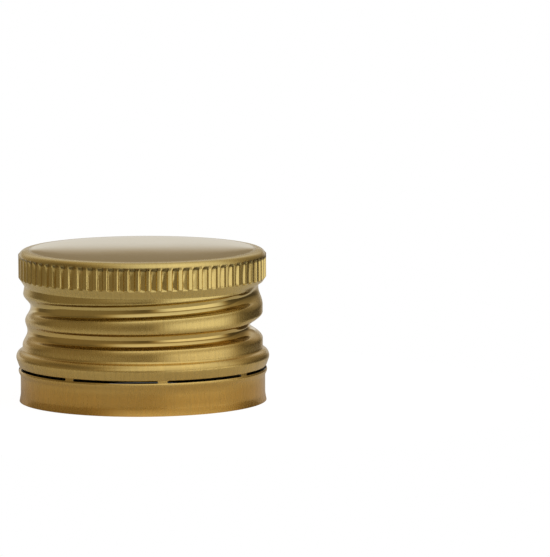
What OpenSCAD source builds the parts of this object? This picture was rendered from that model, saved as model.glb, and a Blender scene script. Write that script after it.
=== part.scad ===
// Screw closure for a 28 mm bottle neck: a drawn aluminium shell with a fluted crown, a rolled
// right-hand thread groove, a bead and a tamper band on bridges, and a sealing liner inside.
// Z points up, the rim stands on z = 0 and the axis of the closure is the Z axis. Angles round
// the closure are counted from -Y, anticlockwise from above.

/* [Crown] */
// Diameter over the flutes
crown_d = 28.34; // [27.8:0.02:29]
// Height of the closure from the rim to its flat top
cap_h = 17.45; // [17:0.05:19]
// Height of the crown, from its lower edge to the flat top
crown_h = 3.25; // [3:0.05:3.5]
// Radius of the rounded edge of the top
corner_r = 0.85; // [0.7:0.05:1.1]
// Thickness of the aluminium sheet
sheet_t = 0.22; // [0.18:0.01:0.28]

/* [Flutes] */
// Number of flutes pressed into the crown
flute_count = 72; // [48:1:80]
// Depth of a flute
flute_depth = 0.36; // [0.2:0.01:0.42]
// Width of a flute at the surface of the crown
flute_w = 0.96; // [0.84:0.02:1.04]
// Width of the flat floor of a flute
flute_floor_w = 0.72; // [0.56:0.02:0.8]
// Distance from the flat top down to the arched ends of the flutes
flute_top_gap = 0.65; // [0.5:0.05:0.8]
// Angle of the first flute
flute_angle = 0.5; // [-5:0.5:5]

/* [Neck and thread] */
// Diameter of the neck under the crown
neck_d = 27; // [26.8:0.05:27.2]
// Height of the slope from the neck out to the crown
slope_h = 0.75; // [0.65:0.05:0.95]
// Diameter of the skirt between the turns of the groove
land_d = 27.5; // [27.3:0.05:27.7]
// Height over which the skirt narrows to the neck
taper_h = 1.7; // [1.4:0.1:2]
// Depth of the thread groove
groove_depth = 1.2; // [0.8:0.05:1.3]
// Width of the thread groove at the skirt
groove_w = 2.8; // [2.4:0.1:3]
// Height of the groove's centre at angle zero
groove_z = 12.0; // [11.8:0.05:12.2]
// Fall of the groove in its first turn
groove_lead = 3.5; // [3.3:0.05:3.6]
// Angle where the groove starts
groove_start = 66; // [50:1:90]
// Angle that the groove sweeps round the skirt
groove_sweep = 580; // [500:5:600]

/* [Bead and tamper band] */
// Diameter over the bead
bead_d = 28.96; // [28.8:0.02:29.2]
// Height of the widest part of the bead
bead_z = 5.2; // [5.1:0.05:5.3]
// Radius of the bead
bead_r = 0.8; // [0.7:0.05:0.85]
// Diameter of the straight middle of the tamper band
band_d = 28.0; // [27.9:0.02:28.2]
// Diameter at the rim
rim_d = 28.3; // [28.2:0.02:28.5]
// Diameter of the lip under the perforated line
lip_d = 28.46; // [28.4:0.02:28.6]
// Diameter of the skirt above the perforated line
slit_top_d = 28.38; // [28.3:0.02:28.5]
// Height where the flare of the rim ends and the straight part starts
flare_h = 0.9; // [0.6:0.05:1.2]
// Length of the straight middle of the band
straight_h = 2.0; // [1.6:0.05:2.2]
// Height of the middle of the perforated line
slit_z = 3.88; // [3.8:0.02:3.96]
// Height of the slits
slit_h = 0.46; // [0.3:0.02:0.54]
// Number of bridges that hold the band
bridge_count = 8; // [4:1:12]
// Width of a bridge
bridge_w = 1.05; // [0.8:0.05:1.5]
// Angle of the first bridge
bridge_angle = 9; // [0:1:44]

/* [Liner] */
// Thickness of the liner
liner_t = 1.5; // [1:0.1:2]
// Clearance between the liner and the wall of the crown
liner_gap = 0.15; // [0.05:0.05:0.3]

/* [Hidden] */
$fn = 96;

gold = [0.78, 0.62, 0.33];
grey = [0.45, 0.43, 0.36];

crown_r = crown_d / 2;
neck_r = neck_d / 2;
land_r = land_d / 2;
band_r = band_d / 2;
rim_r = rim_d / 2;
lip_r = lip_d / 2;
slit_top_r = slit_top_d / 2;

crown_z = cap_h - crown_h;
neck_z = crown_z - slope_h;
flute_floor_r = crown_r - flute_depth;
slit_low_z = slit_z - slit_h / 2;
slit_high_z = slit_z + slit_h / 2;
bead_centre_r = bead_d / 2 - bead_r;

// Cutters reach this far past the surfaces that they cut
past = 0.6;

// The groove flattens as it falls, and leans across the axis
groove_flattening = 1.0;
groove_lean = 0.3;
lean_angle = -46;
// Degrees over which the groove comes in at its start and fades at its end
groove_in = 24;
groove_out = 110;
// Share of its depth by which a faded groove is lifted out of the skirt
groove_lift_share = 1.1;
// Degrees from one ring of the groove's cutter to the next
groove_step = 5;
// Angle below the bead's middle where the skirt runs into it
bead_join_angle = 16;
// Share of the slope's height at which the flutes end
flute_foot_share = 0.8;

// Height of the groove's centre at an angle round the closure
function groove_height(angle) =
    let (turn = angle / 360)
    groove_z + (groove_lead + groove_flattening) * turn + groove_flattening * turn * turn
    + groove_lean * (sin(lean_angle) - sin(angle + lean_angle));

// Eases from 0 to 1 as x goes from 0 to 1
function ease(x) = let (s = min(1, max(0, x))) s * s * (3 - 2 * s);

// How far the groove's section is lifted out of the skirt after a number of degrees
function groove_lift(run) =
    groove_depth * groove_lift_share
    * (1 - ease(run / groove_in) * ease((groove_sweep - run) / groove_out));

// Half of the groove's section, from its shoulder to its floor: height above its centre as a
// share of the half width, and depth as a share of the full depth
HALF_GROOVE = [[0.98, -0.05], [0.72, 0.1], [0.46, 0.86], [0.3, 0.96], [0.1, 1]];

// Closed section of the groove's cutter, as [height, radius], grown by a wall thickness
function groove_section(lift, grown) =
    let (
        half_w = groove_w / 2,
        // lean of the groove's steep side, between its second and its third point
        wall_top = HALF_GROOVE[1],
        wall_foot = HALF_GROOVE[2],
        side_angle = atan((wall_foot[1] - wall_top[1]) * groove_depth
            / ((wall_top[0] - wall_foot[0]) * half_w)),
        widen = grown * tan(side_angle / 2),
        sunk = grown - lift,
        last = len(HALF_GROOVE) - 1,
        upper = [for (i = [0:last]) let (p = HALF_GROOVE[i])
            [p[0] * half_w + widen * min(i, 1), land_r - sunk - p[1] * groove_depth]],
        lower = [for (i = [last:-1:0]) [-upper[i][0], upper[i][1]]],
        outer_r = land_r - sunk + past
    )
    concat([[upper[0][0], outer_r]], upper, lower, [[-upper[0][0], outer_r]]);

// Faces that close a sweep of rings with the same number of points, as triangles
function sweep_faces(rings, points) = concat(
    [for (r = [0:rings - 2], p = [0:points - 1])
        let (a = r * points + p, b = r * points + (p + 1) % points) [a, b + points, b]],
    [for (r = [0:rings - 2], p = [0:points - 1])
        let (a = r * points + p, b = r * points + (p + 1) % points) [a, a + points, b + points]],
    [[for (p = [0:points - 1]) p]],
    [[for (p = [points - 1:-1:0]) (rings - 1) * points + p]]
);

// Cutter of the thread groove: one section swept down and round the skirt
module groove(grown) {
    runs = [for (run = [0:groove_step:groove_sweep]) run];
    points = [for (run = runs)
        let (angle = groove_start - run, z = groove_height(angle))
        for (p = groove_section(groove_lift(run), grown))
            [p[1] * sin(angle), -p[1] * cos(angle), z + p[0]]];
    polyhedron(points, sweep_faces(len(runs), len(HALF_GROOVE) * 2 + 2), convexity = 8);
}

// Half section of the closure's solid outline, moved inwards by a wall thickness
module half_section(wall) {
    slope_turn = atan((crown_r - neck_r) / slope_h);
    raise = wall * tan(slope_turn / 2);
    low_z = wall > 0 ? -past : 0;
    // inside, the wall of the crown stands behind the floors of the flutes
    crown_inset = wall > 0 ? wall + flute_depth : 0;
    slope_run = crown_r - crown_inset - neck_r + wall;
    crown_low_z = neck_z + raise + slope_run / tan(slope_turn);
    bead_wall_r = bead_r - wall;
    bead_join = [
        bead_centre_r + bead_wall_r * cos(bead_join_angle),
        bead_z - bead_wall_r * sin(bead_join_angle)
    ];
    corner = [crown_r - crown_inset - corner_r, cap_h - wall - corner_r];
    // skirt, from the rim up to the slope under the crown
    polygon([
        [0, low_z],
        [rim_r - wall, low_z],
        [rim_r - wall, 0],
        [band_r - wall, flare_h],
        [band_r - wall, flare_h + straight_h],
        [lip_r - wall, slit_low_z],
        [slit_top_r - wall, slit_high_z],
        bead_join,
        [land_r - wall, bead_z],
        [land_r - wall, neck_z - taper_h],
        [neck_r - wall, neck_z + raise],
        [crown_r - crown_inset, crown_low_z],
        [0, crown_low_z]
    ]);
    translate([bead_centre_r, bead_z]) circle(bead_wall_r);
    // crown, with its rounded edge
    translate([0, crown_low_z]) square([crown_r - crown_inset, corner[1] - crown_low_z]);
    translate([0, crown_low_z]) square([corner[0], cap_h - wall - crown_low_z]);
    translate(corner) circle(corner_r);
}

module flute() {
    arch_r = flute_w / 2;
    arch_z = cap_h - flute_top_gap - arch_r;
    low_z = neck_z + slope_h * flute_foot_share;
    // both sides keep leaning out past the surface of the crown
    lean = (flute_w - flute_floor_w) / 2 / flute_depth;
    outer_w = flute_w + 2 * lean * past;
    translate([0, 0, low_z]) linear_extrude(arch_z - low_z) polygon([
        [-flute_floor_w / 2, -flute_floor_r],
        [flute_floor_w / 2, -flute_floor_r],
        [outer_w / 2, -crown_r - past],
        [-outer_w / 2, -crown_r - past]
    ]);
    translate([0, -flute_floor_r, arch_z]) rotate([90, 0, 0])
        cylinder(h = flute_depth + past, r1 = flute_floor_w / 2, r2 = outer_w / 2);
}

// Slit between two bridges, with round ends
module slit() {
    pitch = 360 / bridge_count;
    bridge_half = asin((bridge_w + slit_h) / 2 / lip_r);
    inner_r = min(lip_r, slit_top_r) - sheet_t - past;
    outer_r = max(lip_r, slit_top_r) + past;
    rotate([0, 0, bridge_half - 90])
        rotate_extrude(angle = pitch - 2 * bridge_half)
            translate([inner_r, slit_low_z]) square([outer_r - inner_r, slit_h]);
    for (end = [bridge_half, pitch - bridge_half])
        rotate([0, 0, end]) translate([0, -inner_r, slit_z]) rotate([90, 0, 0])
            cylinder(h = outer_r - inner_r, d = slit_h);
}

module shell() {
    color(gold) difference() {
        rotate_extrude() half_section(0);
        groove(0);
        for (i = [0:flute_count - 1])
            rotate([0, 0, flute_angle + i * 360 / flute_count]) flute();
        difference() {
            rotate_extrude() half_section(sheet_t);
            groove(sheet_t);
        }
        for (i = [0:bridge_count - 1])
            rotate([0, 0, bridge_angle + i * 360 / bridge_count]) slit();
    }
}

module liner() {
    top_z = cap_h - sheet_t;
    liner_r = flute_floor_r - sheet_t - liner_gap;
    color(grey) rotate_extrude() {
        translate([0, top_z - liner_t]) square([liner_r, liner_t - corner_r]);
        translate([0, top_z - liner_t]) square([liner_r - corner_r, liner_t]);
        translate([liner_r - corner_r, top_z - corner_r]) intersection() {
            circle(corner_r);
            square(corner_r);
        }
    }
}

shell();
liner();
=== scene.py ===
import math
from collections import namedtuple

import bmesh
import bpy
from bpy.props import FloatProperty, FloatVectorProperty, IntProperty, PointerProperty
from mathutils import Matrix, Vector


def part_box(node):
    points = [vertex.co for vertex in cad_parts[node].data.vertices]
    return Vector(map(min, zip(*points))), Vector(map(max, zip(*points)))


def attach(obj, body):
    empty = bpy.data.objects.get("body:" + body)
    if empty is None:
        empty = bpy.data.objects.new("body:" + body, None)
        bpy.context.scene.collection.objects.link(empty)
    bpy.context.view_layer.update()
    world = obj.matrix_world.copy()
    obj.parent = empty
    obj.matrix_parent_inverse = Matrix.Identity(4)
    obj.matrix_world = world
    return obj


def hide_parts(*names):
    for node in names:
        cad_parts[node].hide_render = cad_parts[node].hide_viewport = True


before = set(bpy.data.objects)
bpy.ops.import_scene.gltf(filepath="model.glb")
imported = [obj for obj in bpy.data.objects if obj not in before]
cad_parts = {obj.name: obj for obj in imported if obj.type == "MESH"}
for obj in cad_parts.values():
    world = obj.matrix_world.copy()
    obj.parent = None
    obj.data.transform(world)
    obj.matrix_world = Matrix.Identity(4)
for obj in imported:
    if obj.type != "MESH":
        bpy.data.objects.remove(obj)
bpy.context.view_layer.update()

bl_info = {
    "name": "Roll-on bottle cap",
    "version": (1, 0, 0),
    "blender": (4, 5, 0),
    "location": "3D View > Sidebar > Bottle cap",
    "description": "Dresses a gold aluminium screw cap with its formed sheet, liner and studio",
    "category": "Object",
}

SHELL_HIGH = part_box("shell")[1]
LINER_LOW, LINER_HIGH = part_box("liner")


# ---------------------------------------------------------------- sizes and colours

def length(name, description, default):
    """A length that is shown in the scene's unit and written here in millimetres."""
    return FloatProperty(name=name, description=description, default=default / 1000,
                         unit="LENGTH", subtype="DISTANCE", precision=5)


def colour(name, description, default):
    """A plain colour of a finish."""
    return FloatVectorProperty(name=name, description=description, default=default,
                               subtype="COLOR", size=3, min=0, max=1)


def angle(name, description, default):
    """An angle that is written here in degrees."""
    return FloatProperty(name=name, description=description, default=math.radians(default),
                         unit="ROTATION", subtype="ANGLE")


class InMillimetres:
    """Reads a group's lengths in millimetres, the unit in which the shapes are worked out."""

    def __init__(self, group):
        self._group = group

    def __getattr__(self, name):
        return getattr(self._group, name) * 1000


class CrownSizes(bpy.types.PropertyGroup):
    """Sizes of the fluted crown."""

    radius: length("Radius", "Outer radius of the crown over its flutes", 14.17)
    top_z: length("Top", "Height of the flat top over the rim", SHELL_HIGH[2] * 1000)
    corner: length("Corner", "Radius of the rounded top edge", 0.85)
    foot_z: length("Foot", "Height at which the crown's wall starts", 14.2)
    dome: length("Dome", "How far the top's edge lies under its middle", 0.12)
    sheet: length("Sheet", "Thickness of the sheet", 0.22)
    flute_depth: length("Flute depth", "Depth of the pressed flutes", 0.3)
    arch_z: length("Arch", "Height at which a flute's arched end starts", 16.4)
    arch_h: length("Arch height", "Height over which the arched end runs out", 0.34)
    arch_drop: length("Arch drop", "How much lower the arch stands at its sides", 0.25)
    lip: length("Lip", "How far a flute's floor runs out again at its foot", 0.17)


class SkirtSizes(bpy.types.PropertyGroup):
    """Sizes of the neck, the rolled thread, the bead and the tamper band."""

    neck: length("Neck", "Radius of the neck under the crown", 13.5)
    neck_z: length("Neck height", "Height at which the slope to the crown starts", 13.25)
    land: length("Land", "Radius of the skirt between the turns of the groove", 13.75)
    taper_z: length("Taper", "Height at which the skirt starts to narrow to the neck", 11.75)
    bead: length("Bead", "Radius over the bead", SHELL_HIGH[0] * 1000)
    bead_z: length("Bead height", "Height of the bead's widest part", 5.1)
    bead_round: length("Bead rounding", "Radius of the bead's section", 0.85)
    crease: length("Crease", "Radius of the hollow between the bead and the skirt", 0.3)
    slit_z: length("Slit height", "Height of the middle of the perforated line", 3.88)
    slit_half: length("Half slit", "Half of the height of a slit", 0.15)
    slit_top: length("Skirt over the slits", "Radius of the skirt over the slits", 14.19)
    lip: length("Lip", "Radius of the lip under the slits", 14.23)
    lip_z: length("Lip height", "Height at which the band starts to widen to its lip", 2.85)
    band: length("Band", "Radius of the straight middle of the tamper band", 14.0)
    rim: length("Rim", "Radius at the rim", 14.15)
    flare: length("Flare", "Height over which the rim flares outwards", 0.9)
    bridge: length("Bridge", "Width of a bridge between two slits", 1.05)
    groove_z: length("Groove height", "Height of the groove's middle at the front", 11.7)
    groove_depth: length("Groove depth", "Depth of the rolled thread at the front", 1.2)
    groove_half: length("Half groove", "Half of the groove's width, up to its shoulders", 1.55)
    groove_wall: length("Groove wall", "Distance of the groove's steep walls from its middle", 0.78)
    groove_lead: length("Groove lead", "Fall of the groove in its first turn", 3.4)


class PatternSizes(bpy.types.PropertyGroup):
    """Counts and angles round the axis, counted from the front towards the right."""

    flutes: IntProperty(name="Flutes", description="Number of flutes", default=72, min=3)
    flute_turn: angle("First flute", "Angle of the first flute", 0.5)
    bridges: IntProperty(name="Bridges", description="Number of bridges", default=8, min=1)
    bridge_turn: angle("First bridge", "Angle of the first bridge", 9)
    groove_start: angle("Groove start", "Angle at which the groove starts", 112)
    groove_sweep: angle("Groove sweep", "Angle that the groove runs round the skirt", 625)


class LinerSizes(bpy.types.PropertyGroup):
    """Sizes of the sealing disc."""

    radius: length("Radius", "Radius of the disc", LINER_HIGH[0] * 1000)
    low_z: length("Underside", "Height of the side that seals", LINER_LOW[2] * 1000)
    high_z: length("Upper side", "Height of the side under the crown", LINER_HIGH[2] * 1000)
    edge: length("Edge", "Rounding of the sealing edge", 0.12)
    corner: length("Corner", "Rounding of the hidden upper edge", 0.85)
    ring: length("Ring", "Radius of the small moulded ring", 0.6)


class Finish(bpy.types.PropertyGroup):
    """Colours of the lacquers, the bare metal and the liner, with a painted shade for the groove's
    walls and a warm gold that is partly painted reflection.
    """

    gold: colour("Gold", "Lacquer outside", (0.76, 0.575, 0.20))
    # warm gold: the band's own warmer tone and a painted warm reflection of the table low on the
    # skirt
    orange: colour("Warm gold", "Lacquer where it lies thicker, low on the band", (0.76, 0.43, 0.09))
    # groove shade: painted shade laid on the steep walls of the groove, standing in for their dark
    # reflections
    shade: colour("Groove shade", "Lacquer on the steep walls of the groove", (0.22, 0.18, 0.09))
    olive: colour("Olive", "Lacquer inside", (0.31, 0.28, 0.16))
    bare: colour("Bare edge", "Cut edge of the sheet", (0.80, 0.79, 0.76))
    liner: colour("Liner", "Sealing disc", (0.185, 0.17, 0.125))


# ---------------------------------------------------------------- shader expressions

class Value:
    """A socket that stands for a number; an expression on it adds its Math nodes."""

    def __init__(self, shader, socket):
        self.shader = shader
        self.socket = socket

    def _math(self, operation, *others):
        sockets = [o.socket if isinstance(o, Value) else o for o in others]
        node = self.shader.node("ShaderNodeMath", {"operation": operation},
                                {i: s for i, s in enumerate(sockets)})
        return Value(self.shader, node.outputs[0])

    def __add__(self, other):
        return self._math("ADD", self, other)

    __radd__ = __add__

    def __sub__(self, other):
        return self._math("SUBTRACT", self, other)

    def __rsub__(self, other):
        return self._math("SUBTRACT", other, self)

    def __mul__(self, other):
        return self._math("MULTIPLY", self, other)

    __rmul__ = __mul__

    def __truediv__(self, other):
        return self._math("DIVIDE", self, other)

    def __pow__(self, other):
        return self._math("POWER", self, other)

    def most(self, other):
        """The higher of the two numbers."""
        return self._math("MAXIMUM", self, other)

    def cosine(self):
        """The cosine of an angle in radians."""
        return self._math("COSINE", self)

    def turned_from(self, other):
        """The angle of the direction (other, self) round the axis."""
        return self._math("ARCTAN2", self, other)

    def step(self, low, high):
        """0 up to low, 1 from high, and smooth between them. high may be the lower one."""
        node = self.shader.node("ShaderNodeMapRange", {"interpolation_type": "SMOOTHSTEP"},
                                {"Value": self, "From Min": low, "From Max": high,
                                 "To Min": 0, "To Max": 1})
        return Value(self.shader, node.outputs["Result"])


Places = namedtuple("Places", "point x y z radius turn")


class Shader:
    """The nodes of one material or of the world."""

    def __init__(self, owner):
        owner.use_nodes = True
        self.tree = owner.node_tree
        self.tree.nodes.clear()

    def node(self, kind, settings=None, inputs=None):
        """Adds a node: its settings first, then the values or links of its sockets."""
        node = self.tree.nodes.new(kind)
        for name, value in (settings or {}).items():
            setattr(node, name, value)
        for name, value in (inputs or {}).items():
            value = value.socket if isinstance(value, Value) else value
            if isinstance(value, bpy.types.NodeSocket):
                self.tree.links.new(value, node.inputs[name])
            else:
                node.inputs[name].default_value = value
        return node

    def value(self, kind, output, settings=None, inputs=None):
        """A number that a node gives."""
        return Value(self, self.node(kind, settings, inputs).outputs[output])

    def axes(self, vector):
        """The three parts of a vector."""
        node = self.node("ShaderNodeSeparateXYZ", {}, {0: vector})
        return [Value(self, socket) for socket in node.outputs]

    def vector(self, x, y, z):
        """A vector of three parts."""
        return self.node("ShaderNodeCombineXYZ", {}, {0: x, 1: y, 2: z}).outputs[0]

    def noise(self, vector, scale, detail=2, roughness=0.5):
        """A cloudy pattern from 0 to 1."""
        return self.value("ShaderNodeTexNoise", "Fac", {"noise_dimensions": "3D"},
                          {"Vector": vector, "Scale": scale, "Detail": detail,
                           "Roughness": roughness})

    def mix(self, share, first, second):
        """A colour between two colours."""
        node = self.node("ShaderNodeMix", {"data_type": "RGBA"},
                         {0: share, 6: self.tone(first), 7: self.tone(second)})
        return node.outputs[2]

    def tone(self, value):
        """A colour as its socket takes it."""
        if isinstance(value, (bpy.types.NodeSocket, Value)):
            return value
        return (*value, 1)

    def bump(self, height, distance, strength, normal=None):
        """Fine relief of a height in metres, on top of the normal that is given."""
        inputs = {"Height": height, "Distance": distance, "Strength": strength}
        if normal is not None:
            inputs["Normal"] = normal
        return self.node("ShaderNodeBump", {}, inputs).outputs["Normal"]

    def places(self):
        """Object coordinates in millimetres, with the radius and the turn round the axis."""
        place = self.node("ShaderNodeTexCoord").outputs["Object"]
        scaled = self.node("ShaderNodeVectorMath", {"operation": "SCALE"},
                           {0: place, "Scale": 1000.0}).outputs[0]
        x, y, z = self.axes(scaled)
        radius = (x * x + y * y) ** 0.5
        return Places(scaled, x, y, z, radius, x.turned_from(-1 * y))

    def surface(self, shader):
        """Links a shader to the material's surface."""
        out = self.node("ShaderNodeOutputMaterial")
        self.tree.links.new(shader, out.inputs["Surface"])


def principled(shader, constants, varying):
    """The main shader: constants on its own sockets, and what changes over the surface."""
    return shader.node("ShaderNodeBsdfPrincipled", {}, {**constants, **varying}).outputs[0]


# ---------------------------------------------------------------- materials

WARM_SKIRT = (13.0, 7.0)      # mm, heights between which a painted warm reflection of the table grows downwards
WARM_BAND = (4.6, 1.6)        # mm, heights between which it turns warmer still: the band's own tone and more painted warm reflection
GRAIN_RELIEF, LINE_RELIEF = 0.00001, 0.00002    # m, heights of the relief in the lacquer
BURR_RELIEF, CELL_RELIEF = 0.00003, 0.00004     # m, on the cut edges and on the liner


def darker(tone, share):
    """A colour brought down to a share of itself."""
    return tuple(part * share for part in tone)


def arched_ends(at, crown, pattern):
    """1 in the arched ends of the flutes, where shade is painted."""
    over_flute = ((at.turn - pattern.flute_turn) * pattern.flutes).cosine().step(-0.45, 0.1)
    return (over_flute * at.z.step(crown.arch_z - 0.1, crown.arch_z + 0.02)
            * at.z.step(crown.arch_z + 0.45, crown.arch_z + 0.26))


def steep_groove(s, at, skirt):
    """1 on the steep walls of the groove at the front and the left, less towards the right, where
    shade is painted.
    """
    facing_up = s.axes(s.node("ShaderNodeTexCoord").outputs["Normal"])[2]
    return ((facing_up * facing_up).step(0.55, 0.85)
            * at.z.step(skirt.neck_z + 0.65, skirt.neck_z + 0.15)
            * at.z.step(skirt.bead_z + 0.5, skirt.bead_z + 1.3) * at.turn.step(1.0, 0.4))


def gold_material(finish, crown, skirt, pattern):
    """Satin gold lacquer on drawn aluminium, with painted shade in the flutes' arched ends and on
    the groove's steep walls, and painted warm reflection low on the skirt.
    """
    material = bpy.data.materials.new("gold_lacquer")
    s = Shader(material)
    at = s.places()
    # smooth where the radius is small, on the flat top and on the groove's floor
    flat_r = crown.radius - crown.corner
    on_wall = at.radius.step(flat_r - 0.72, flat_r - 0.12)
    # lines that drawing leaves up the wall, and rolling across the top
    wall_lines = s.noise(s.vector(at.turn * 48, at.z * 0.3, 0), 1.0, 3)
    top_lines = s.noise(s.vector(at.x * 0.5, at.y * 6.5, 0), 1.0, 2)
    lines = wall_lines * on_wall + top_lines * (1 - on_wall)
    grain = s.noise(at.point, 9.0, 3, 0.6)
    cloud = s.noise(at.point, 0.16, 2)
    # warmer towards the bottom: painted warm reflection of the table up the skirt, the band's own
    # warmer tone, and random tone
    warm_tone_and_reflection = at.z.step(*WARM_SKIRT) * 0.3 + at.z.step(*WARM_BAND) * 0.7 + (cloud - 0.5) * 0.35
    base = s.mix(warm_tone_and_reflection.most(0), tuple(finish.gold), tuple(finish.orange))
    worn = s.mix((lines - 0.5) * (0.3 + on_wall * 0.3) + (grain - 0.5) * 0.25 + 0.18,
                 base, darker(finish.gold, 0.55))
    # painted shade: the arched ends of the flutes are darkened, standing in for the shadow under
    # their overhang
    arch_shade_painted = s.mix(arched_ends(at, crown, pattern) * 0.85, worn, darker(finish.gold, 0.25))
    # painted shade: the steep walls of the groove are darkened, standing in for their dark
    # reflections
    groove_shade_painted = s.mix(steep_groove(s, at, skirt) * 0.6, arch_shade_painted, tuple(finish.shade))
    roughness = (0.035 + on_wall * 0.235 + (grain - 0.5) * 0.04 + (cloud - 0.5) * 0.04
                 + (lines - 0.5) * 0.06)
    relief = on_wall * 0.95 + 0.05
    fine = s.bump(grain * relief, GRAIN_RELIEF, 0.35)
    normal = s.bump(lines * relief, LINE_RELIEF, 0.35, fine)
    s.surface(principled(s, {"Metallic": 1.0, "Coat Weight": 0.2, "Coat Roughness": 0.03}, {
        "Base Color": groove_shade_painted, "Roughness": roughness, "Normal": normal}))
    return material


def olive_material(finish):
    """Olive lacquer inside the cap."""
    material = bpy.data.materials.new("olive_lacquer")
    s = Shader(material)
    at = s.places()
    cloud = s.noise(at.point, 0.3, 3)
    lines = s.noise(s.vector(at.turn * 60, at.z * 0.5, 0), 1.0, 2)
    base = s.mix((cloud - 0.5) * 0.8 + (lines - 0.5) * 0.4 + 0.3, tuple(finish.olive),
                 darker(finish.olive, 0.7))
    s.surface(principled(s, {"Metallic": 0.75}, {
        "Base Color": base, "Roughness": 0.36 + (cloud - 0.5) * 0.2,
        "Normal": s.bump(lines, LINE_RELIEF, 0.3)}))
    return material


def bare_material(finish):
    """Bare aluminium where the sheet was cut."""
    material = bpy.data.materials.new("cut_edge")
    s = Shader(material)
    at = s.places()
    burr = s.noise(s.vector(at.turn * 60, at.z * 2, at.radius * 6), 1.0, 3)
    base = s.mix((burr - 0.4) * 1.5, tuple(finish.bare), darker(finish.bare, 0.6))
    s.surface(principled(s, {"Metallic": 1.0}, {
        "Base Color": base, "Roughness": 0.32 + (burr - 0.5) * 0.3,
        "Normal": s.bump(burr, BURR_RELIEF, 0.4)}))
    return material


def liner_material(finish):
    """Matt foamed sealing disc."""
    material = bpy.data.materials.new("sealing_foam")
    s = Shader(material)
    at = s.places()
    cloud = s.noise(at.point, 0.18, 3)
    cells = s.noise(at.point, 5.0, 4, 0.6)
    base = s.mix((cloud - 0.5) * 0.9 + (cells - 0.5) * 0.35 + 0.25, tuple(finish.liner),
                 darker(finish.liner, 0.72))
    s.surface(principled(s, {"Metallic": 0.0, "Specular IOR Level": 0.4}, {
        "Base Color": base, "Roughness": 0.52 + (cloud - 0.5) * 0.2,
        "Normal": s.bump(cells, CELL_RELIEF, 0.4)}))
    return material


# ---------------------------------------------------------------- mesh helpers

SAME = 1e-3                   # mm within which two heights or radii are the same


def ease(x, low=0.0, high=1.0):
    """0 up to low, 1 from high, and smooth between them."""
    share = min(1.0, max(0.0, (x - low) / (high - low)))
    return share * share * (3 - 2 * share)


def on_circle(radius, turn, z):
    """A point at an angle from the front, which grows towards the right."""
    return Vector((radius * math.sin(turn), -radius * math.cos(turn), z))


def turn_of(point):
    """The angle from the front at which a point lies."""
    return math.atan2(point.x, -point.y)


def radius_of(point):
    """The distance of a point from the axis."""
    return math.hypot(point.x, point.y)


def arc(centre, radius, first, last, steps):
    """Points (radius, height) on an arc of a section, its ends included, angles in degrees."""
    return [(centre[0] + radius * math.cos(a), centre[1] + radius * math.sin(a))
            for a in (math.radians(first + (last - first) * i / steps)
                      for i in range(steps + 1))]


def rows(first, last, count):
    """Points that divide a straight stretch of a section, without its last one."""
    return [(first[0] + (last[0] - first[0]) * i / count,
             first[1] + (last[1] - first[1]) * i / count) for i in range(count)]


def curl(radius, z, offsets):
    """Points of a rounded corner of a section, as steps (outwards, upwards) from its tip."""
    return [(radius + out, z + up) for out, up in offsets]


def spun(section, columns, first_turn):
    """A bmesh of a section turned once round the axis."""
    bm = bmesh.new()
    line = [bm.verts.new(on_circle(r, first_turn, z)) for r, z in section]
    edges = [bm.edges.new(pair) for pair in zip(line, line[1:])]
    bmesh.ops.spin(bm, geom=line + edges, cent=(0, 0, 0), axis=(0, 0, 1), dvec=(0, 0, 0),
                   angle=2 * math.pi, steps=columns, use_merge=True, use_duplicate=False)
    return bm


def rim_edges(bm, z, low_r=0.0, high_r=math.inf):
    """Open edges at one height and between two radii."""
    return [e for e in bm.edges if e.is_boundary and all(
        abs(v.co.z - z) < SAME and low_r < radius_of(v.co) < high_r for v in e.verts)]


def close_ring(bm, ring):
    """Fills the small ring (radius, height) that a section leaves round the axis."""
    radius, z = ring
    bmesh.ops.contextual_create(bm, geom=rim_edges(bm, z, high_r=radius + SAME))


def joined(parts):
    """One bmesh of several, which are freed."""
    whole = bmesh.new()
    for part in parts:
        mesh = bpy.data.meshes.new("part")
        part.to_mesh(mesh)
        part.free()
        whole.from_mesh(mesh)
        bpy.data.meshes.remove(mesh)
    return whole


def finished(name, bm, materials, sharp_degrees):
    """An object in metres at the origin, closed, and smooth but for its sharp edges."""
    bmesh.ops.recalc_face_normals(bm, faces=bm.faces)
    open_edges = sum(1 for edge in bm.edges if not edge.is_manifold)
    if open_edges:
        raise RuntimeError(f"{name} has {open_edges} open edges")
    bmesh.ops.scale(bm, vec=(0.001, 0.001, 0.001), verts=bm.verts)
    for face in bm.faces:
        face.smooth = True
    for edge in bm.edges:
        if edge.calc_face_angle(0) > math.radians(sharp_degrees):
            edge.smooth = False
    mesh = bpy.data.meshes.new(name)
    bm.to_mesh(mesh)
    bm.free()
    for material in materials:
        mesh.materials.append(material)
    piece = bpy.data.objects.new(name, mesh)
    bpy.context.collection.objects.link(piece)
    return piece


# ---------------------------------------------------------------- shell

GOLD, OLIVE, BARE = 0, 1, 2   # the shell's material slots
SKIRT_COLUMNS = 168
BRIDGE_COLUMNS = 2            # columns from the middle of a bridge to the end of a slit
BAND_ROWS, OVER_ROWS, BEAD_ROWS, CREASE_ROWS, LAND_ROWS, TAPER_ROWS = 4, 4, 14, 6, 72, 20
BEAD_START = -16              # degrees, where the bead's arc starts under its widest part
JOINT_LOW, JOINT_HIGH = 0.52, 0.40    # mm under the crown's foot, where skirt and crown are joined
LOW_SLOPE_ROWS = (0.8, 0.66)          # mm under the crown's foot, the slope's rows on the skirt

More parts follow.
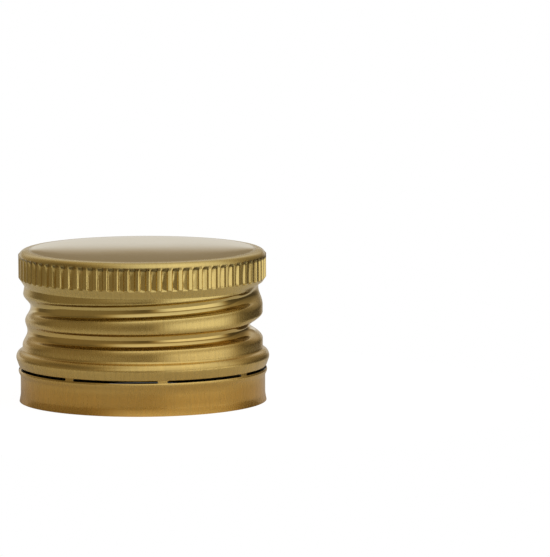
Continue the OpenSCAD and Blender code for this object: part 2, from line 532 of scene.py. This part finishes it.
# rounded corners of the section, as steps (outwards, upwards) in mm
LIP_CURL = ((0, -0.19), (-0.012, -0.11), (-0.035, -0.055))     # under the slits
OVER_CURL = ((-0.03, 0.05), (0, 0.12))                         # over the slits
NECK_CURL = ((0, -0.08), (0.012, -0.02), (0.045, 0.05))        # between the neck and the slope
FOOT_CURL = ((-0.02, 0), (-0.004, 0.04))                       # at the foot of the crown's wall
INNER_CURL = ((-0.04, 0.40), (0, 0.52))                        # behind that foot
SLIT_DRAW = 0.07              # mm by which the edges of the slits lie inside the lip
FOOT_STEP = 0.05              # mm by which the crown's foot stands out from the slope

# rows of the crown's mesh, closest where its shape changes most
SLOPE_ROWS = (0.33, 0.27, 0.22, 0.17, 0.12, 0.06)     # mm under the crown's foot
WALL_ROWS = (0.09, 0.16, 0.3, 0.7, 1.3)               # mm over the crown's foot
ARCH_ROWS = (0, 0.12, 0.22, 0.31, 0.4)                # mm over the start of the arches
TOP_ROWS = (0.985, 0.97, 0.95, 0.93, 0.91, 0.88, 0.85, 0.8, 0.75, 0.65, 0.5, 0.3, 0.08)  # shares
CORNER_ROWS, INNER_CORNER_ROWS = 18, 10
INNER_FLAT, INNER_EYE = 0.4, 0.5      # mm, width of the inner top's outermost ring, its middle face

GROOVE_FLATTENING = 1.0       # mm that a turn of the groove falls less than the one before
GROOVE_LEAN = 0.28            # mm by which the groove leans across the axis
GROOVE_LEAN_TURN = -11.0      # degrees
GROOVE_IN, GROOVE_OUT = 60.0, 110.0   # degrees over which the groove comes in and fades
GROOVE_SWING = 0.22           # share by which it is deeper on the right, shallower on the left
GROOVE_WALL_SOFT = 0.042      # mm, how gently its walls bend
GROOVE_HOLLOW = 0.15          # share of its depth that is the hollow of its floor
GROOVE_SHOULDER = 0.09        # share of its depth by which its shoulders are rounded off
GROOVE_SHOULDER_WIDTH = 0.9   # mm
GROOVE_SOFT_RIGHT = (0.8, 0.98)       # shares of the way to the right over which it turns soft
GROOVE_SOFT_LEFT = (0.7, 0.98)        # the same on the left
GROOVE_CREST_ROUND = 0.6      # mm by which it is wider towards its next turn, on the left
GROOVE_OVER_NECK = 0.4        # mm that it may reach over the neck

# places from the crest's right slant over a flute to the next crest, as shares of the pitch,
# each with its height over the flute's floor as a share of the flute's depth
FLUTE_SECTION = (
    (-0.5, 0.97), (-0.437, 0.9), (-0.385, 0.77), (-0.345, 0.58), (-0.29, 0.1), (-0.245, 0.0),
    (-0.1, 0.12), (0.04, 0.25), (0.15, 0.4), (0.205, 0.75), (0.25, 1.0), (0.37, 1.0))
FLUTE_EDGE = 0.03             # mm, the rounding of a flute's edges
LIP_RUN = (-0.12, 0.14)       # mm under the crown's foot, where a flute's floor runs out


def groove_height(sizes, degrees):
    """Height of the groove's middle. The angle falls along the groove, past -180 degrees."""
    turns = degrees / 360
    lean = math.sin(math.radians(GROOVE_LEAN_TURN)) - math.sin(
        math.radians(degrees + GROOVE_LEAN_TURN))
    return (sizes.groove_z + (sizes.groove_lead + GROOVE_FLATTENING) * turns
            + GROOVE_FLATTENING * turns * turns + GROOVE_LEAN * lean)


def groove_section(sizes, off, side, reach):
    """Depth at a distance from the groove's middle, as a share of its full depth.

    Its walls are steep where side is 0, and it is a soft hollow where side is 1.
    """
    soft = 0.5 + 0.5 * math.cos(math.pi * min(1.0, off / (sizes.groove_half + reach)))
    past_wall = off - sizes.groove_wall
    wall = 1 / (1 + math.exp(past_wall / GROOVE_WALL_SOFT))
    hollow = max(0.0, 1 - (off / sizes.groove_wall) ** 2)
    shoulder = max(0.0, 1 - max(0.0, past_wall) / GROOVE_SHOULDER_WIDTH) ** 2
    steep = (wall * (1 - GROOVE_HOLLOW - GROOVE_SHOULDER) + GROOVE_HOLLOW * hollow
             + GROOVE_SHOULDER * shoulder)
    return steep + (soft - steep) * side


def groove_share(sizes, pattern, turn, z):
    """How deep the groove is at a place of the skirt, as a share of its depth at the front."""
    start, sweep = math.degrees(pattern.groove_start), math.degrees(pattern.groove_sweep)
    to_right = math.sin(turn)
    side = ease(to_right, *GROOVE_SOFT_RIGHT) + ease(-to_right, *GROOVE_SOFT_LEFT)
    left_over = 1.0
    for lap in range(-1, 3):
        degrees = math.degrees(turn) - 360 * lap
        run = start - degrees
        if not 0 < run < sweep:
            continue
        rise = z - groove_height(sizes, degrees)
        # on the left the crest between the turns is rounded off
        between = (rise < 0) == (run < 360)
        reach = GROOVE_CREST_ROUND * max(0.0, -to_right) if between else 0.0
        depth = (1 + GROOVE_SWING * to_right) * ease(run / GROOVE_IN) * ease(
            (sweep - run) / GROOVE_OUT)
        left_over *= 1 - depth * groove_section(sizes, abs(rise), side, reach)
    return 1 - left_over


def slope_radius(crown, skirt, z):
    """Radius of the slope between the neck and the crown."""
    share = (z - skirt.neck_z) / (crown.foot_z - skirt.neck_z)
    return skirt.neck + (crown.radius - FOOT_STEP - skirt.neck) * share


def slope_rows(crown, skirt, drops):
    """Points of the slope at distances under the crown's foot."""
    return [(slope_radius(crown, skirt, crown.foot_z - drop), crown.foot_z - drop)
            for drop in drops]


def band_section(skirt):
    """The tamper band's outer section from the rim up to the slits."""
    slit_low = skirt.slit_z - skirt.slit_half
    flare = [(skirt.rim - (skirt.rim - skirt.band) * s * (1.3 - 0.3 * s), skirt.flare * s)
             for s in (0, 0.2, 0.4, 0.6, 0.8)]
    straight = rows((skirt.band, skirt.flare), (skirt.band, skirt.lip_z), BAND_ROWS)
    tip = curl(skirt.lip, slit_low, LIP_CURL)
    lip = [(skirt.band + (skirt.lip - skirt.band) * ease(s) ** 0.9,
            skirt.lip_z + (tip[0][1] - skirt.lip_z) * s) for s in (0, 0.2, 0.4, 0.55, 0.7, 0.85)]
    return flare + straight + lip + tip


def bead_section(skirt):
    """The bead, and the hollow that leads up from it into the skirt."""
    centre = (skirt.bead - skirt.bead_round, skirt.bead_z)
    both = skirt.bead_round + skirt.crease
    hollow_r = skirt.land + skirt.crease
    meet = math.acos((hollow_r - centre[0]) / both)
    hollow_z = centre[1] + both * math.sin(meet)
    degrees = math.degrees(meet)
    return (arc(centre, skirt.bead_round, BEAD_START, degrees, BEAD_ROWS)
            + arc((hollow_r, hollow_z), skirt.crease, 180 + degrees, 180, CREASE_ROWS)[1:])


def skirt_section(crown, skirt):
    """The skirt's outer section from the rim up to its joint with the crown."""
    middle_r, half_step = (skirt.slit_top + skirt.lip) / 2, (skirt.slit_top - skirt.lip) / 2
    slits = [(middle_r + half_step * s - SLIT_DRAW, skirt.slit_z + skirt.slit_half * s)
             for s in (-1, -0.87, -0.5, 0, 0.5, 0.87, 1)]
    over = curl(skirt.slit_top, skirt.slit_z + skirt.slit_half, OVER_CURL)
    bead = bead_section(skirt)
    land_top, neck = (skirt.land, skirt.taper_z), curl(skirt.neck, skirt.neck_z, NECK_CURL)
    return (band_section(skirt) + slits + over + rows(over[-1], bead[0], OVER_ROWS)[1:] + bead
            + rows(bead[-1], land_top, LAND_ROWS)[1:] + rows(land_top, neck[0], TAPER_ROWS) + neck
            + slope_rows(crown, skirt, (*LOW_SLOPE_ROWS, JOINT_LOW)))


def roll_thread(bm, skirt, pattern):
    """Presses the thread groove into the skirt's vertices."""
    valley = skirt.land - skirt.groove_depth
    low_z = skirt.bead_z + skirt.bead_round + skirt.crease
    for vert in bm.verts:
        z = vert.co.z
        if not low_z <= z <= skirt.neck_z + GROOVE_OVER_NECK:
            continue
        turn, radius = turn_of(vert.co), radius_of(vert.co)
        share = groove_share(skirt, pattern, turn, z)
        vert.co = on_circle(radius + (valley - radius) * share, turn, z)


def cut_slits(bm, skirt, pattern):
    """Opens the slits between the bridges, with round ends."""
    pitch = 2 * math.pi / pattern.bridges
    column = 2 * math.pi / SKIRT_COLUMNS
    end = BRIDGE_COLUMNS * column
    in_slit = {}
    for vert in bm.verts:
        rise = vert.co.z - skirt.slit_z
        if abs(rise) > skirt.slit_half + SAME:
            continue
        turn, radius = turn_of(vert.co), radius_of(vert.co)
        off = (turn - pattern.bridge_turn + pitch / 2) % pitch - pitch / 2
        # the column at a slit's end is moved along, and bent to make the end round
        if abs(abs(off) - end) < column / 4:
            inset = math.sqrt(max(0.0, skirt.slit_half ** 2 - rise ** 2))
            rounded = (skirt.bridge / 2 + skirt.slit_half - inset) / radius
            vert.co = on_circle(radius, turn - off + math.copysign(rounded, off), vert.co.z)
        in_slit[vert] = abs(off) > end - column / 4
    open_faces = [f for f in bm.faces if all(in_slit.get(v, False) for v in f.verts)]
    bmesh.ops.delete(bm, geom=open_faces, context="FACES")


def thicken(bm, sheet, joint_z):
    """Gives the skirt its inner side, olive, and the bare cut edges, but none at the joint."""
    bmesh.ops.recalc_face_normals(bm, faces=bm.faces)
    # the face that lies furthest out has to look outwards
    widest = max(bm.faces, key=lambda f: radius_of(f.calc_center_median()))
    middle = widest.calc_center_median()
    if widest.normal.dot(Vector((middle.x, middle.y, 0))) < 0:
        bmesh.ops.reverse_faces(bm, faces=bm.faces)
    bm.normal_update()
    outwards = {tuple(round(c, 5) for c in v.co): v.normal.copy() for v in bm.verts}
    made = bmesh.ops.extrude_face_region(bm, geom=bm.faces[:], use_keep_orig=True)["geom"]
    inner = {e for e in made if isinstance(e, bmesh.types.BMVert)}
    for vert in inner:
        vert.co -= sheet * outwards[tuple(round(c, 5) for c in vert.co)]
        # the inner edge of the rim stays level with the outer one
        if vert.co.z < 0.5 * sheet:
            vert.co.z = 0.0
    at_joint = []
    for face in bm.faces:
        count = sum(v in inner for v in face.verts)
        face.material_index = OLIVE if count == len(face.verts) else BARE if count else GOLD
        if face.material_index == BARE and min(v.co.z for v in face.verts) > joint_z - sheet:
            at_joint.append(face)
    bmesh.ops.delete(bm, geom=at_joint, context="FACES")


def skirt_wall(crown, skirt, pattern):
    """The skirt with both sides of its sheet: thread rolled in and slits cut."""
    bm = spun(skirt_section(crown, skirt), SKIRT_COLUMNS, pattern.bridge_turn)
    roll_thread(bm, skirt, pattern)
    cut_slits(bm, skirt, pattern)
    thicken(bm, crown.sheet, crown.foot_z - JOINT_LOW)
    return bm


def crown_section(crown, skirt):
    """The crown's outer section from its joint with the skirt up to the middle of the top."""
    wall = [(crown.radius, crown.foot_z + rise) for rise in WALL_ROWS]
    arch = [(crown.radius, crown.arch_z + rise) for rise in ARCH_ROWS]
    flat_r = crown.radius - crown.corner
    corner_z = crown.top_z - crown.dome - crown.corner
    corner = arc((flat_r, corner_z), crown.corner, 0, 86, CORNER_ROWS)
    top = [(flat_r * s, crown.top_z - crown.dome * (0.5 * s ** 2 + 0.5 * s ** 14))
           for s in TOP_ROWS]
    return (slope_rows(crown, skirt, (JOINT_HIGH, *SLOPE_ROWS))
            + curl(crown.radius, crown.foot_z, FOOT_CURL) + wall + arch + corner + top)


def flute_radius(crown, place, height, z):
    """Radius in a flute at a place across it, where it stands at a height over its floor."""
    arch_z = crown.arch_z - crown.arch_drop * (2 * place) ** 2
    up = max(0.0, z - arch_z) / crown.arch_h
    rise = crown.flute_depth * min(1.0, (height ** 3 + up ** 3) ** (1 / 3))
    lip = crown.lip * ease(crown.foot_z - z, *LIP_RUN)
    return crown.radius - crown.flute_depth + max(rise, lip)


def soft_least(a, b, blend):
    """The lower of two values, with a rounded change from one to the other."""
    h = max(0.0, blend - abs(a - b)) / blend
    return min(a, b) - h * h * blend / 4


def press_flutes(bm, crown, pattern):
    """Presses the flutes into the crown: columns gather at their edges, then move inwards."""
    pitch = 2 * math.pi / pattern.flutes
    columns = len(FLUTE_SECTION)
    plain_r = crown.radius - crown.corner - crown.flute_depth
    for vert in bm.verts:
        turn, radius, z = turn_of(vert.co), radius_of(vert.co), vert.co.z
        if radius < plain_r and z > crown.arch_z:
            continue
        off = ((turn - pattern.flute_turn) / pitch + 0.5) % 1 - 0.5
        lap, column = divmod(round((off + 0.5) * columns), columns)
        place, height = FLUTE_SECTION[column]
        settled = turn + (place + lap - off) * pitch
        pressed = flute_radius(crown, place, height, z)
        if pressed < radius + FLUTE_EDGE and z < crown.top_z - crown.dome:
            radius = soft_least(radius, pressed, FLUTE_EDGE)
        vert.co = on_circle(radius, settled, z)


def crown_wall(crown, skirt, pattern):
    """The crown's outer side, with its flutes."""
    section = crown_section(crown, skirt)
    bm = spun(section, pattern.flutes * len(FLUTE_SECTION), pattern.flute_turn)
    press_flutes(bm, crown, pattern)
    close_ring(bm, section[-1])
    return bm


def crown_inside(crown, skirt, pattern):
    """The crown's plain inner side behind the flutes, from the joint up."""
    wall_r = crown.radius - crown.flute_depth - crown.sheet
    corner_r = wall_r - crown.corner
    top_z = crown.top_z - crown.sheet - crown.dome
    slope_z = skirt.neck_z + crown.sheet * 0.4
    section = (curl(wall_r, slope_z, INNER_CURL)
               + arc((corner_r, top_z - crown.corner), crown.corner, 0, 88, INNER_CORNER_ROWS)
               + [(corner_r - INNER_FLAT, top_z), (INNER_EYE, top_z)])
    bm = spun(section, SKIRT_COLUMNS, pattern.bridge_turn)
    close_ring(bm, section[-1])
    for face in bm.faces:
        face.material_index = OLIVE
    return bm


def bridge_walls(bm, crown, skirt):
    """Joins the skirt to the crown, outside and inside."""
    low_z, high_z = crown.foot_z - JOINT_LOW, crown.foot_z - JOINT_HIGH
    # the inner rims at the joint lie further in than this
    outer_r = slope_radius(crown, skirt, low_z) - 0.02
    open_edges = [e for e in bm.edges if e.is_boundary]
    outer = rim_edges(bm, low_z, low_r=outer_r) + rim_edges(bm, high_z, low_r=outer_r)
    taken = set(outer)
    inner = [e for e in open_edges if e not in taken]
    for edges, slot in ((outer, GOLD), (inner, OLIVE)):
        for face in bmesh.ops.bridge_loops(bm, edges=edges)["faces"]:
            face.material_index = slot


class CAP_OT_shell(bpy.types.Operator):
    """Makes the formed aluminium sheet: fluted crown, rolled thread, bead and tamper band"""

    bl_idname = "cap.shell"
    bl_label = "Shell"

    def execute(self, context):
        scene = context.scene
        finish, pattern = scene.cap_finish, scene.cap_pattern
        crown, skirt = InMillimetres(scene.cap_crown), InMillimetres(scene.cap_skirt)
        bm = joined([wall(crown, skirt, pattern)
                     for wall in (skirt_wall, crown_wall, crown_inside)])
        bridge_walls(bm, crown, skirt)
        materials = [gold_material(finish, crown, skirt, pattern), olive_material(finish),
                     bare_material(finish)]
        piece = finished("cap_shell", bm, materials, sharp_degrees=38)
        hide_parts("shell")
        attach(piece, "root")
        return {"FINISHED"}


# ---------------------------------------------------------------- liner

LINER_COLUMNS, LINER_EDGE_ROWS, LINER_CORNER_ROWS = 144, 6, 10
LINER_EYE = 0.2               # mm, radius of the mesh's middle face
LINER_ROWS = (1.5, 6.0)       # mm, radii of the rows across its flat sides
RING_HALF, RING_DEPTH = 0.09, 0.05    # mm, half the width of the moulded ring, and its depth


def liner_section(sizes):
    """The disc's section from the middle of its underside round to the middle of its top."""
    low_z, high_z, ring = sizes.low_z, sizes.high_z, sizes.ring
    moulded = [(ring - RING_HALF, low_z), (ring - RING_HALF / 3, low_z + RING_DEPTH),
               (ring + RING_HALF / 3, low_z + RING_DEPTH), (ring + RING_HALF, low_z)]
    edge = arc((sizes.radius - sizes.edge, low_z + sizes.edge), sizes.edge, -90, 0,
               LINER_EDGE_ROWS)
    corner = arc((sizes.radius - sizes.corner, high_z - sizes.corner), sizes.corner, 0, 90,
                 LINER_CORNER_ROWS)
    return ([(LINER_EYE, low_z)] + moulded + [(radius, low_z) for radius in LINER_ROWS]
            + edge + corner + [(LINER_ROWS[-1], high_z), (LINER_EYE, high_z)])


class CAP_OT_liner(bpy.types.Operator):
    """Makes the sealing disc under the crown, with the small ring moulded in its middle"""

    bl_idname = "cap.liner"
    bl_label = "Liner"

    def execute(self, context):
        scene = context.scene
        section = liner_section(InMillimetres(scene.cap_liner))
        bm = spun(section, LINER_COLUMNS, 0.0)
        close_ring(bm, section[0])
        close_ring(bm, section[-1])
        piece = finished("cap_liner", bm, [liner_material(scene.cap_finish)], sharp_degrees=40)
        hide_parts("liner")
        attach(piece, "root")
        return {"FINISHED"}


# ---------------------------------------------------------------- stage

CAMERA_BACK, CAMERA_HEIGHT = 0.700, 0.0988      # m
CAMERA_LENS = 398.5                             # mm
CAMERA_AIM = (0.01517, 0.0, 0.01385)            # m
CAMERA_ROLL = math.radians(-0.225)
TABLE_RADIUS = 0.045                            # m
TABLE_TONES = (0.80, 0.79, 0.77), (0.74, 0.73, 0.71)
BASE_LIGHT = 0.145
OVERHEAD_TOWARD = (0.42, -0.25, 0.87)
WARM_LIGHT, WHITE_LIGHT = (1.0, 0.82, 0.55), (1.0, 1.0, 1.0)


def toward(level, degrees, full, gone):
    """1 within an angle of a direction counted from the front to the right, 0 past a wider one."""
    turn = math.radians(degrees)
    along = level[0] * math.sin(turn) - level[1] * math.cos(turn)
    return along.step(math.cos(math.radians(gone)), math.cos(math.radians(full)))


def studio_world():
    """Soft light from overhead and the right, a dim front, and a pale backdrop behind the cap.

    Heights are the upward part of a direction, 0 at the horizon and 1 straight up.
    """
    world = bpy.data.worlds.new("studio")
    bpy.context.scene.world = world
    s = Shader(world)
    x, y, z = s.axes(s.node("ShaderNodeTexCoord").outputs["Generated"])
    flat = (x * x + y * y) ** 0.5 + 0.0001
    level = (x / flat, y / flat)
    along_x, along_y, along_z = OVERHEAD_TOWARD
    overhead = (x * along_x + y * along_y + z * along_z).most(0) ** 3 * z.step(0.1, 0.5) * 0.95
    low_right = toward(level, 58, 12, 52) * z.step(0.1, 0.0) * 0.95
    high_right = toward(level, 36, 30, 95) * z.step(0.02, 0.3) * z.step(0.98, 0.7) * 0.7
    left = toward(level, -60, 30, 65) * z.step(0.5, 0.1) * 0.09
    backdrop = toward(level, -170, 22, 40) * z.step(0.126, 0.108) * (
        z.step(-0.02, 0.05) * 0.16 + 0.44)
    over_backdrop = toward(level, 180, 50, 80) * z.step(0.108, 0.126) * 0.15
    high_behind = toward(level, 180, 15, 45) * z.step(0.16, 0.3) * z.step(0.9, 0.5) * 0.32
    shade = 1 - toward(level, 132, 5, 34) * z.step(0.9, 0.6) * 0.45
    light = (BASE_LIGHT + left + backdrop + over_backdrop + high_behind
             + low_right.most(high_right).most(overhead)) * shade
    seen = Value(s, s.node("ShaderNodeLightPath").outputs["Is Camera Ray"])
    background = s.node("ShaderNodeBackground", {}, {
        "Color": s.mix(light.step(0.3, 0.75).most(seen), WARM_LIGHT, WHITE_LIGHT),
        "Strength": light * (1 - seen) + seen})
    out = s.node("ShaderNodeOutputWorld")
    s.tree.links.new(background.outputs[0], out.inputs["Surface"])


def table_material(skirt):
    """A plain pale table, white to the camera but for the cap's shadow and inside its rim."""
    material = bpy.data.materials.new("pale_table")
    s = Shader(material)
    at = s.places()
    diffuse = s.node("ShaderNodeBsdfDiffuse", {}, {
        "Color": s.mix(s.noise(at.point, 0.4) * 0.05, *TABLE_TONES)})
    glow = s.node("ShaderNodeEmission", {}, {"Color": s.tone(WHITE_LIGHT), "Strength": 1.12})
    seen = Value(s, s.node("ShaderNodeLightPath").outputs["Is Camera Ray"])
    share = seen * 0.86 * at.radius.step(skirt.rim - 0.45, skirt.rim + 0.05)
    both = s.node("ShaderNodeMixShader", {}, {0: share, 1: diffuse.outputs[0],
                                              2: glow.outputs[0]})
    s.surface(both.outputs[0])
    return material


def table(skirt):
    """The round table top that the cap stands on."""
    bm = bmesh.new()
    bmesh.ops.create_circle(bm, cap_ends=True, segments=128, radius=TABLE_RADIUS)
    mesh = bpy.data.meshes.new("table")
    bm.to_mesh(mesh)
    bm.free()
    mesh.materials.append(table_material(skirt))
    return bpy.data.objects.new("table", mesh)


def camera():
    """A long lens a little above the cap, aimed so that the cap stands left of the middle."""
    data = bpy.data.cameras.new("camera")
    data.lens = CAMERA_LENS
    data.sensor_width = 36.0
    data.sensor_fit = "AUTO"
    data.clip_start, data.clip_end = 0.01, 20.0
    seat = bpy.data.objects.new("camera", data)
    seat.location = (0.0, -CAMERA_BACK, CAMERA_HEIGHT)
    look = (Vector(CAMERA_AIM) - seat.location).to_track_quat("-Z", "Y").to_matrix().to_4x4()
    seat.rotation_euler = (look @ Matrix.Rotation(CAMERA_ROLL, 4, "Z")).to_euler()
    return seat


class CAP_OT_stage(bpy.types.Operator):
    """Sets up the pale table, the soft studio light and the camera"""

    bl_idname = "cap.stage"
    bl_label = "Stage"

    def execute(self, context):
        scene = context.scene
        studio_world()
        floor = table(InMillimetres(scene.cap_skirt))
        context.collection.objects.link(floor)
        scene.camera = camera()
        context.collection.objects.link(scene.camera)
        scene.view_settings.view_transform = "Standard"
        return {"FINISHED"}


# ---------------------------------------------------------------- add-on

class CAP_PT_sidebar(bpy.types.Panel):
    """Lists the cap's pieces, sizes and colours in the sidebar of the 3D view"""

    bl_idname = "CAP_PT_sidebar"
    bl_label = "Bottle cap"
    bl_space_type = "VIEW_3D"
    bl_region_type = "UI"
    bl_category = "Bottle cap"

    def draw(self, context):
        for operator in (CAP_OT_shell, CAP_OT_liner, CAP_OT_stage):
            self.layout.operator(operator.bl_idname)
        for name, group in GROUPS.items():
            box = self.layout.box()
            box.label(text=group.__doc__)
            for size in group.__annotations__:
                box.prop(getattr(context.scene, name), size)


GROUPS = {"cap_crown": CrownSizes, "cap_skirt": SkirtSizes, "cap_pattern": PatternSizes,
          "cap_liner": LinerSizes, "cap_finish": Finish}
CLASSES = (*GROUPS.values(), CAP_OT_shell, CAP_OT_liner, CAP_OT_stage, CAP_PT_sidebar)


def register():
    """Makes the operators, the panel and the sizes known to Blender."""
    for cls in CLASSES:
        bpy.utils.register_class(cls)
    for name, group in GROUPS.items():
        setattr(bpy.types.Scene, name, PointerProperty(type=group))


def unregister():
    """Takes them away again."""
    for name in GROUPS:
        delattr(bpy.types.Scene, name)
    for cls in reversed(CLASSES):
        bpy.utils.unregister_class(cls)


def main():
    """Builds the cap and its stage."""
    register()
    bpy.ops.cap.shell()
    bpy.ops.cap.liner()
    bpy.ops.cap.stage()


if __name__ == "__main__":
    main()
